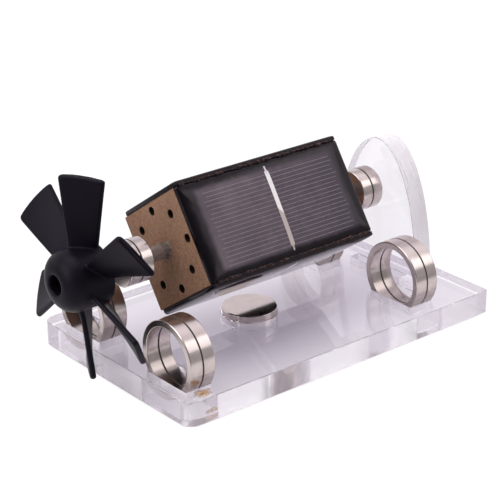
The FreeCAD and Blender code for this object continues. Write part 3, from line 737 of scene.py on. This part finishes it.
def thrust_outline(g):
    """Half an ellipse on a tenon, counter-clockwise in (y, z)."""
    a, b = 19.5 + g, 46.3 + g
    pts = [(12.0 + g, 0.0 - g), (12.0 + g, -7.97 - g)]
    pts = [(-12.0 - g, -7.97 - g), (12.0 + g, -7.97 - g), (12.0 + g, 0.03 - g)]
    pts += [(a * math.cos(t), 0.03 - g + (b - 0.03 + g) * math.sin(t))
            for t in [math.pi * i / 480 for i in range(481)]]
    pts += [(-12.0 - g, 0.03 - g)]
    return pts


bm = bmesh.new()
cut_sheet(bm, thrust_outline, [], 46.8, 54.0, 0.16,
          lambda u, v, w: Vector((w, u, v + 8.0 * MM)))
finish_mesh("thrust_sheet", bm, PLATE_ACRYLIC, "root",
            ["thrust_plate"])


# -------------------------------------------------------------------- magnets
def ring_section(x0, x1, ri, ro, k, out_r=0.38, in_r=0.28):
    """k is 0 for the first magnet of a pair, 1 for the second; the edges
    that meet are rounded less."""
    a, b, c, d = ((in_r, out_r, 0.16, 0.14), (0.14, 0.16, out_r, in_r))[k][:4]
    return fillet_loop([(x0, ri, a), (x0, ro, b), (x1, ro, c), (x1, ri, d)], 5)


for row, near in (("front", -58.15), ("rear", 33.35)):
    for side, y in (("left", 22.0), ("right", -22.0)):
        for k, which in enumerate(("outer", "inner")):
            bm = bmesh.new()
            x0 = near + 4.6 * k + 0.02
            lathe(bm, ring_section(x0, x0 + 4.56, 9.9, 12.0, k), 160,
                  along_x(y, 15.33))
            finish_mesh("ring_%s_%s_%s" % (row, side, which), bm, NICKEL,
                        "root",
                        ["support_magnet_%s_%s_%s" % (row, side, which)])
for row, near in (("front", -58.75), ("rear", 34.6)):
    for k in (0, 1):
        bm = bmesh.new()
        x0 = near + 4.3 * k + 0.02
        lathe(bm, ring_section(x0, x0 + 4.26, 2.4, 7.0, k, 0.4, 0.25), 120,
              along_x(0, AXIS_Z))
        finish_mesh("shaft_ring_%s_%d" % (row, k + 1), bm, NICKEL_SHAFT, "rotor",
                    ["rotor_magnet_%s_%d" % (row, k + 1)])
for k, which in enumerate(("lower", "upper")):
    bm = bmesh.new()
    z0 = 0.2 + 5.0 * k + 0.02
    sec = [(z0, 0.0)] + fillet_loop(
        [(z0, 0.0, 0), (z0, 9.0, 0.4), (z0 + 4.96, 9.0, 0.4),
         (z0 + 4.96, 0.0, 0)], 5)[1:-1] + [(z0 + 4.96, 0.0)]
    lathe(bm, sec, 128, along_z(-8.2), closed=False)
    finish_mesh("disc_%s" % which, bm, NICKEL_DISC, "root",
                ["stator_magnet_%s" % which])

# ------------------------------------------------------- old glue in the slots
def smear(name, x, z, half_x, half_z, y, into, seed, flat=False):
    """A thin uneven film on the wall of a slot, into the slot by `into`.

    A flat one lies on the top of the sheet: z is then its place across the
    base and y the height of the sheet."""
    def at(a, b, out):
        if flat:
            return Vector((a * MM, b * MM, (y + out) * MM))
        return Vector((a * MM, (y + out) * MM, b * MM))

    bm = bmesh.new()
    turns, steps = 40, 9
    rings = []
    for side in (0, 1):
        rows = []
        for i in range(1, steps + 1):
            row = []
            for j in range(turns):
                t = 2 * math.pi * j / turns
                c, d = math.cos(t), math.sin(t)
                reach = i / steps * (1 + 0.42 * noise.noise(Vector((1.3 * c, 1.3 * d, seed))))
                px, pz = x + half_x * reach * c, z + half_z * reach * d
                lump = 0.6 + 0.9 * noise.noise(Vector((px * 0.9, pz * 0.9, seed + 2.0)))
                swell = math.sqrt(max(0.0, 1 - (i / steps) ** 2))
                out = into * swell * max(0.2, lump) if side else 0.0
                row.append(bm.verts.new(at(px, pz, out)))
            rows.append(row)
        lump = 0.6 + 0.9 * noise.noise(Vector((x * 0.9, z * 0.9, seed + 2.0)))
        mid = bm.verts.new(at(x, z, into * max(0.2, lump) * side))
        for j in range(turns):
            bm.faces.new((mid, rows[0][j], rows[0][(j + 1) % turns]))
        for p, q in zip(rows, rows[1:]):
            for j in range(turns):
                k = (j + 1) % turns
                bm.faces.new((p[j], q[j], q[k], p[k]))
        rings.append(rows[-1])
    for j in range(turns):
        k = (j + 1) % turns
        bm.faces.new((rings[0][j], rings[1][j], rings[1][k], rings[0][k]))
    return finish_mesh(name, bm, RESIDUE, "root", sharp=70)


smear("residue_front_right", -54.5, -34.7, 3.3, 2.35, 8.02, 0.14, 2.0, flat=True)
smear("residue_front_right_low", -51.2, 1.05, 2.2, 0.85, -31.50, 0.40, 4.0)
smear("residue_front_left", -54.0, 5.8, 1.6, 1.0, 12.50, 0.40, 7.0)

# -------------------------------------------------------------- shaft and tip
bm = bmesh.new()
lathe(bm, [(-74.0, 0.0), (-74.0, 2.05), (-73.9, 2.25), (-73.7, 2.35),
           (44.0, 2.35), (44.2, 2.25), (44.3, 2.05), (44.3, 1.0), (40.4, 1.0),
           (40.4, 0.0)], 64, along_x(0, AXIS_Z), closed=False)
finish_mesh("shaft_rod", bm, SHAFT, "rotor", ["shaft"])
bm = bmesh.new()
lathe(bm, [(40.4, 0.0), (40.4, 0.97), (45.1, 0.97), (45.25, 0.92),
           (46.62, 0.22), (46.72, 0.12), (46.75, 0.0)], 40,
      along_x(0, AXIS_Z), closed=False)
finish_mesh("needle_tip", bm, STEEL, "rotor", ["shaft_tip"])


# ----------------------------------------------------------------- end plates
def rotor_put(x0):
    def put(u, v, w):
        return ROTOR @ Vector((x0 * MM + w, u, v))
    return put


for label, x0 in (("front", -40.7), ("rear", 19.9)):
    bm = bmesh.new()
    holes = [lambda g: ring_points(0, 0, 2.4 - g, 40)[::-1]]
    for i in range(8):
        t = math.pi / 4 * i
        holes.append(lambda g, t=t: [
            (12.7 * math.sin(t) + u, 12.7 * math.cos(t) + v)
            for u, v in ring_points(0, 0, 1.4 - g, 32)][::-1])
    cut_sheet(bm, lambda g: rounded_rect(-15.4, -15.8, 15.4, 15.4, 0.3, g, 4),
              holes, 0.0, 3.0, 0.12, rotor_put(x0))
    finish_mesh("board_end_%s" % label, bm, FIBRE, "rotor",
                ["end_plate_%s" % label])


# --------------------------------------------------------------------- panels
def stacked(bm, loops):
    """Skins a list of equal loops and caps both ends."""
    rows = [[bm.verts.new(Vector((u * MM, v * MM, w * MM))) for u, v, w in lp]
            for lp in loops]
    n = len(rows[0])
    for a, b in zip(rows, rows[1:]):
        for i in range(n):
            j = (i + 1) % n
            bm.faces.new((a[i], a[j], b[j], b[i]))
    bm.faces.new(rows[0][::-1])
    bm.faces.new(rows[-1])


PANELS = [(1, 90.0, 15.5, -0.25, -40.9), (2, 0.0, 15.5, -1.35, -40.9),
          (3, 180.0, 15.95, 1.4, -40.9), (4, -90.0, 15.5, 1.9, -38.9)]
for k, extra, inner, mid, x0 in PANELS:
    world = (Matrix.Translation((x0 * MM, 0, AXIS_Z * MM))
             @ Matrix.Rotation(ROLL + math.radians(extra), 4, "X"))

    def outline(inset, z, mid=mid):
        return [(u, v, z) for u, v in rounded_rect(
            0, mid - 15.6, 64.3, mid + 15.6, 0.7, -inset, 6)]

    bm = bmesh.new()
    stacked(bm, [outline(0.05, inner), outline(0.0, inner + 0.05),
                 outline(0.0, inner + 0.46), outline(0.03, inner + 0.49)])
    finish_mesh("panel_back_%d" % k, bm, BOARD, "rotor",
                ["panel_board_%d" % k], world)

    top = inner + 2.2
    profile = [(0.0, 1.70), (0.0, 1.28), (0.02, 1.16), (0.07, 1.04),
               (0.16, 0.93), (0.28, 0.845), (0.44, 0.775), (0.64, 0.715)]
    profile += [(0.90, 0.655), (1.25, 0.585), (1.7, 0.508), (2.3, 0.420),
                (3.1, 0.322), (4.1, 0.225), (5.3, 0.138), (6.8, 0.066),
                (8.6, 0.022), (10.6, 0.004), (12.6, 0.0)]
    bm = bmesh.new()
    loops = []
    for inset, down in profile:
        loops.append([(u, v, top - down) for u, v in rounded_rect(
            inset, mid - 15.6 + inset, 64.3 - inset, mid + 15.6 - inset,
            min(0.7 + inset * 0.55, 0.75 * (15.6 - inset)), 0.0, 6)])
    stacked(bm, loops)
    finish_mesh("panel_face_%d" % k, bm,
                make_panel_top(mid, 0.04 if k == 3 else 0.12), "rotor",
                ["panel_resin_%d" % k], world, sharp=50)


# ----------------------------------------------------------------- seam glue
def lumpy_bead(bm, y, z, radius, x0, x1, seed, vary=0.55, breaks=0.0):
    n, sides = 300, 10
    rows = []
    for i in range(n + 1):
        x = x0 + (x1 - x0) * i / n
        s = noise.noise(Vector((x * 0.55, seed, 0.3)))
        s2 = noise.noise(Vector((x * 2.1, seed + 5.0, 1.3)))
        r = radius * (1.0 + vary * s + vary * 0.6 * s2)
        if breaks and noise.noise(Vector((x * 0.21, seed + 9.0, 2.0))) > breaks:
            r *= 0.45
        if i in (0, n):
            r *= 0.2
        dy = 0.12 * noise.noise(Vector((x * 0.4, seed, 7.7)))
        dz = 0.10 * noise.noise(Vector((x * 0.8, seed, 4.4)))
        row = []
        for j in range(sides):
            t = 2 * math.pi * j / sides
            rr = r * (1 + 0.18 * noise.noise(Vector((x * 1.7, j * 1.3, seed))))
            row.append(bm.verts.new(ROTOR @ Vector((
                x * MM, (y + dy + rr * math.cos(t)) * MM,
                (z + dz + rr * math.sin(t)) * MM))))
        rows.append(row)
    for a, b in zip(rows, rows[1:]):
        for j in range(sides):
            m = (j + 1) % sides
            bm.faces.new((a[j], a[m], b[m], b[j]))
    bm.faces.new(rows[0][::-1])
    bm.faces.new(rows[-1])


bm = bmesh.new()
lumpy_bead(bm, -16.95, 15.52, 0.46, -39.8, 22.4, 1.0, 0.8, 0.20)
lumpy_bead(bm, -17.10, -15.82, 0.42, -39.2, 22.2, 2.0, 0.7)
lumpy_bead(bm, 15.62, 14.92, 0.95, -39.4, 21.9, 3.0, 0.35)
lumpy_bead(bm, 14.86, -16.36, 0.62, -39.4, 21.9, 4.0)
finish_mesh("seam_beads", bm, GLUE, "rotor", ["seam_glue"])


# --------------------------------------------------------------- glue collars
def blob(a, r, t):
    return r * (1 + 0.05 * noise.noise(Vector((a, 2 * math.cos(t), 2 * math.sin(t)))))


for label, x0, d in (("front", -40.7, -1), ("rear", 22.9, 1)):
    bm = bmesh.new()
    sec = [(0.02, 2.38), (0.02, 2.86), (0.25, 2.66), (0.7, 2.56), (1.3, 2.52),
           (1.9, 2.50), (2.35, 2.47), (2.56, 2.41), (2.58, 2.38)]
    lathe(bm, [(x0 + d * a, r) for a, r in sec], 56, along_x(0, AXIS_Z),
          wobble=blob)
    finish_mesh("glue_collar_%s" % label, bm, CLEAR_GLUE, "rotor",
                ["shaft_glue_%s" % label], sharp=60)

# ------------------------------------------------------------------ propeller
R_TIP = 31.5


def blade_point(zc, c, side, off):
    """One point of a blade: zc the radial level, c 0..1 from the forward to
    the rear edge, off the distance along the blade's own normal."""
    f = (zc - 8.4) / (33.0 - 8.4)
    bow = f * (1 - f)
    fx, fy = -74.54 + 0.50 * f, 2.21 + 4.867 * f + 0.79 * bow
    rx, ry = -67.62 + 0.832 * f, -2.78 - 4.43 * f + 0.44 * bow
    d = Vector((rx - fx, ry - fy))
    nrm = Vector((-d.y, d.x)).normalized()
    camber = -0.18 * math.sin(math.pi * c)
    p = Vector((fx, fy)) + d * c + nrm * (camber + off)
    return p.x, p.y


def add_blade(bm, turn):
    nchord = 18
    rows = []
    radii = [8.0 + 22.3 * i / 24 for i in range(25)]
    radii += [30.55, 30.8, 31.0, 31.18, 31.33, 31.43, 31.49]
    for i, r in enumerate(radii):
        f = (r - 8.0) / (R_TIP - 8.0)
        # the corners of the tip are rounded, the forward one more
        low = max(0.0, 1 - (R_TIP - r) / 1.2)
        low = 1.2 * (1 - math.sqrt(1 - low * low)) / 16.0
        high = max(0.0, 1 - (R_TIP - r) / 0.5)
        high = 0.5 * (1 - math.sqrt(1 - high * high)) / 16.0
        t = 1.58 + (1.98 - 1.58) * f
        end = max(0.0, 1 - (R_TIP - r) / 0.5)
        t *= 0.35 + 0.65 * math.sqrt(1 - end * end)
        loop = []
        cs = [0.5 - 0.512 * math.cos(math.pi * j / nchord) for j in range(nchord + 1)]
        for side in (1, -1):
            seq = cs if side == 1 else cs[::-1][1:-1]
            for c in seq:
                edge = (min(c, 1 - c) + 0.012) * 11.0
                th = t / 2 * min(1.0, math.sqrt(max(0.0, 1 - max(0.0, 1 - edge / 0.9) ** 2)))
                z = r
                cc = low + c * (1 - low - high)
                for _ in range(6):
                    x, y = blade_point(z, cc, side, side * th)
                    z = math.sqrt(max(r * r - y * y, 1.0))
                loop.append((x, y, z))
        rows.append(loop)
    rot = Matrix.Rotation(math.radians(turn), 4, "X")
    base = Matrix.Translation((0, 0, AXIS_Z * MM))
    vr = [[bm.verts.new(base @ rot @ Vector((x * MM, y * MM, z * MM)))
           for x, y, z in lp] for lp in rows]
    n = len(vr[0])
    for a, b in zip(vr, vr[1:]):
        for i in range(n):
            j = (i + 1) % n
            bm.faces.new((a[i], a[j], b[j], b[i]))
    bm.faces.new(vr[0][::-1])
    bm.faces.new(vr[-1])


bm = bmesh.new()
hub = fillet_loop([
    (-81.5, 3.1, 0.35), (-81.5, 9.6, 5.75), (-66.42, 9.6, 0.3),
    (-66.42, 8.1, 0.25), (-76.3, 8.1, 0.5), (-76.3, 4.2, 0.5),
    (-66.42, 4.2, 0.25), (-66.42, 2.4, 0.2), (-74.5, 2.4, 0.0),
    (-74.5, 3.1, 0.3)], 10)
lathe(bm, hub, 144, along_x(0, AXIS_Z))
for i in range(6):
    add_blade(bm, 60.0 * i)
bmesh.ops.recalc_face_normals(bm, faces=bm.faces)
rough_me = bpy.data.meshes.new("propeller_rough")
bm.to_mesh(rough_me)
bm.free()
rough = bpy.data.objects.new("propeller_rough", rough_me)
bpy.context.scene.collection.objects.link(rough)
mod = rough.modifiers.new("Remesh", "REMESH")
mod.mode = "VOXEL"
mod.voxel_size = 0.00030
mod.use_smooth_shade = True
sm = rough.modifiers.new("Smooth", "SMOOTH")
sm.factor = 0.5
sm.iterations = 4
bpy.context.view_layer.update()
dg = bpy.context.evaluated_depsgraph_get()
prop_me = bpy.data.meshes.new_from_object(rough.evaluated_get(dg))
bpy.data.objects.remove(rough)
bpy.data.meshes.remove(rough_me)
bm = bmesh.new()
bm.from_mesh(prop_me)
bpy.data.meshes.remove(prop_me)
# the blades stand a degree or so out of square
for v in bm.verts:
    y, z = v.co.y, v.co.z - AXIS_Z * MM
    w = min(1.0, max(0.0, (math.hypot(y, z) / MM - 9.2) / 4.0))
    w = w * w * (3 - 2 * w)
    v.co.x += w * (0.024 * y - 0.0104 * z + 0.23 * MM)
finish_mesh("propeller_moulding", bm, BLACK, "rotor",
            ["propeller"], sharp=0)

# ------------------------------------------- CAD nodes kept, better materials
KEEP = {"coil_core": WOOD, "coil_winding_1": COPPER, "coil_winding_2": COPPER,
        "lead_wires": COPPER, "solder_joints": SOLDER}
for i in (1, 2, 3, 4):
    KEEP["panel_cell_%d" % i] = SILICON
for node, mat in KEEP.items():
    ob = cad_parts[node]
    ob.data.materials.clear()
    ob.data.materials.append(mat)

# -------------------------------------------------------- floor, light, camera
# the floor glows: nearly all its light is emission, bright over a table in front and dimmer
# around it
fm = Mat("glowing_floor")
fm.set(color=fm.ramp(fm.noise(0.004, 2, 0.5), [(0.3, (0.080, 0.080, 0.080)),
                                               (0.7, (0.085, 0.085, 0.085))]),
       rough=0.9, specular=0.1)
fx, fy, fz = fm.xyz()
qx = fm.math("MAXIMUM", fm.math("SUBTRACT", fm.math("ABSOLUTE", fx), 57.5), 0.0)
qy = fm.math("MAXIMUM", fm.math("SUBTRACT", fm.math("ABSOLUTE", fy), 33.1), 0.0)
under = fm.remap(fm.math("SQRT", fm.math(
    "ADD", fm.math("MULTIPLY", qx, qx), fm.math("MULTIPLY", qy, qy))),
    4.2, 5.0, 1.0, 0.0)
ahead = fm.math("ADD", fm.math("MULTIPLY", fx, 0.634),
                fm.math("MULTIPLY", fy, 0.773))
across = fm.math("ABSOLUTE", fm.math("SUBTRACT", fm.math("MULTIPLY", fx, 0.773),
                                     fm.math("MULTIPLY", fy, 0.634)))
table = fm.math("MULTIPLY", fm.remap(ahead, -175.0, -120.0),
                fm.remap(fm.math("SUBTRACT", across,
                                 fm.math("MULTIPLY", ahead, 0.25)),
                         130.0, 200.0, 1.0, 0.0))
# the soft shade that the rotor throws below itself
ex = fm.math("DIVIDE", fm.math("ADD", fx, 14.0), 72.0)
ey = fm.math("DIVIDE", fm.math("ADD", fy, 3.0), 26.0)
shade = fm.remap(fm.math("SQRT", fm.math(
    "ADD", fm.math("MULTIPLY", ex, ex), fm.math("MULTIPLY", ey, ey))),
    0.15, 1.35, 1.0, 0.0)
# painted shade: the glow is lowered under the base, more at its left end and where the
# rotor's shade lies
dim = fm.math("MULTIPLY", under, fm.math(
    "ADD", fm.remap(fx, -63.0, -38.0, 0.38, 0.26), fm.math("MULTIPLY", shade, 0.35)))
glow = fm.math("ADD", 0.30, fm.math("MULTIPLY", table, 0.66))
glow = fm.math("SUBTRACT", glow, dim)
# painted shade colour: the dimmed floor under the base is tinted lavender
tint = fm.mix(fm.math("MULTIPLY", under, fm.math(
    "ADD", 0.35, fm.math("MULTIPLY", shade, 0.65))),
    (1.0, 0.985, 1.0), (1.0, 0.915, 1.065))
fm.link(tint, fm.p.inputs["Emission Color"])
fm.link(glow, fm.p.inputs["Emission Strength"])
bm = bmesh.new()
bmesh.ops.create_grid(bm, x_segments=8, y_segments=8, size=3.0)
for v in bm.verts:
    v.co.z = -0.0004
me = bpy.data.meshes.new("floor")
bm.to_mesh(me)
bm.free()
me.materials.append(fm.mat)
floor = bpy.data.objects.new("floor", me)
bpy.context.scene.collection.objects.link(floor)

scene = bpy.context.scene
world = bpy.data.worlds.new("studio")
scene.world = world
world.use_nodes = True
wn = world.node_tree
wn.nodes.clear()
wo = wn.nodes.new("ShaderNodeOutputWorld")
bg = wn.nodes.new("ShaderNodeBackground")
tc = wn.nodes.new("ShaderNodeTexCoord")


def glow_towards(direction, lo, hi, level):
    """Light from around a direction: 0 below lo, level above hi."""
    d = Vector(direction).normalized()
    dot = wn.nodes.new("ShaderNodeVectorMath")
    dot.operation = "DOT_PRODUCT"
    dot.inputs[1].default_value = d
    mr = wn.nodes.new("ShaderNodeMapRange")
    mr.interpolation_type = "SMOOTHSTEP"
    mr.inputs["From Min"].default_value = lo
    mr.inputs["From Max"].default_value = hi
    mr.inputs["To Max"].default_value = level
    wn.links.new(tc.outputs["Generated"], dot.inputs[0])
    wn.links.new(dot.outputs["Value"], mr.inputs["Value"])
    return mr.outputs[0]


# the backdrop fades with height
back = glow_towards((0.634, 0.773, 0.0), -0.10, 0.42, 1.0)
low = glow_towards((0.0, 0.0, -1.0), -0.62, -0.36, 0.26)
fade = wn.nodes.new("ShaderNodeMath")
fade.operation = "ADD"
fade.inputs[1].default_value = 0.56
wn.links.new(low, fade.inputs[0])
both = wn.nodes.new("ShaderNodeMath")
both.operation = "MULTIPLY"
wn.links.new(back, both.inputs[0])
wn.links.new(fade.outputs[0], both.inputs[1])
total = None
for part in (both.outputs[0],
             glow_towards((0.58, -0.16, 0.80), 0.80, 0.98, 0.55),
             glow_towards((-0.8, 0.25, 0.25), 0.45, 0.95, 0.35),
             glow_towards((0.61, -0.78, 0.06), 0.82, 0.99, 0.30)):
    if total is None:
        total = part
    else:
        add = wn.nodes.new("ShaderNodeMath")
        add.operation = "ADD"
        wn.links.new(total, add.inputs[0])
        wn.links.new(part, add.inputs[1])
        total = add.outputs[0]
add = wn.nodes.new("ShaderNodeMath")
add.operation = "ADD"
add.inputs[1].default_value = 0.22
wn.links.new(total, add.inputs[0])
bg.inputs[0].default_value = (1.0, 0.958, 1.0, 1.0)
wn.links.new(add.outputs[0], bg.inputs[1])
wn.links.new(bg.outputs[0], wo.inputs[0])


def area(name, loc, target, size, power, color=(1, 1, 1)):
    li = bpy.data.lights.new(name, "AREA")
    li.shape = "RECTANGLE"
    li.size, li.size_y = size
    li.energy = power
    li.color = color
    ob = bpy.data.objects.new(name, li)
    ob.location = loc
    d = (Vector(target) - Vector(loc)).normalized()
    ob.rotation_euler = d.to_track_quat("-Z", "Y").to_euler()
    scene.collection.objects.link(ob)
    return ob


area("top_softbox", (-0.22, 0.05, 0.85), (0, 0, 0.03), (0.75, 0.8), 5.0)
area("left_softbox", (-0.80, 0.12, 0.42), (0, 0, 0.04), (0.5, 0.6), 3.4,
     (1.0, 0.985, 0.97))
area("right_softbox", (0.416, -0.444, 0.443), (0, 0, 0.04), (0.36, 0.34),
     0.61, (1.0, 0.985, 0.975))

cam_data = bpy.data.cameras.new("camera")
cam_data.sensor_fit = "HORIZONTAL"
cam_data.sensor_width = 36.0
cam_data.lens = 1782.918 / 500 * 36.0
cam_data.shift_x = 0.00417
cam_data.shift_y = 0.00270
cam_data.clip_start = 0.01
cam_data.dof.use_dof = False
cam = bpy.data.objects.new("camera", cam_data)
right = Vector((0.771388, -0.636345, -0.00509))
down = Vector((-0.254619, -0.301303, -0.918905))
back = -Vector((0.583207, 0.710128, -0.394447))
cam.matrix_world = Matrix((
    (right.x, -down.x, back.x, -0.33789),
    (right.y, -down.y, back.y, -0.40085),
    (right.z, -down.z, back.z, 0.251682),
    (0, 0, 0, 1)))
scene.collection.objects.link(cam)
scene.camera = cam

scene.view_settings.view_transform = "Standard"
scene.view_settings.look = "None"
scene.view_settings.exposure = 0.0
scene.cycles.max_bounces = 24
scene.cycles.transmission_bounces = 24
scene.cycles.glossy_bounces = 10
scene.cycles.diffuse_bounces = 4
scene.cycles.transparent_max_bounces = 24
scene.cycles.use_denoising = True
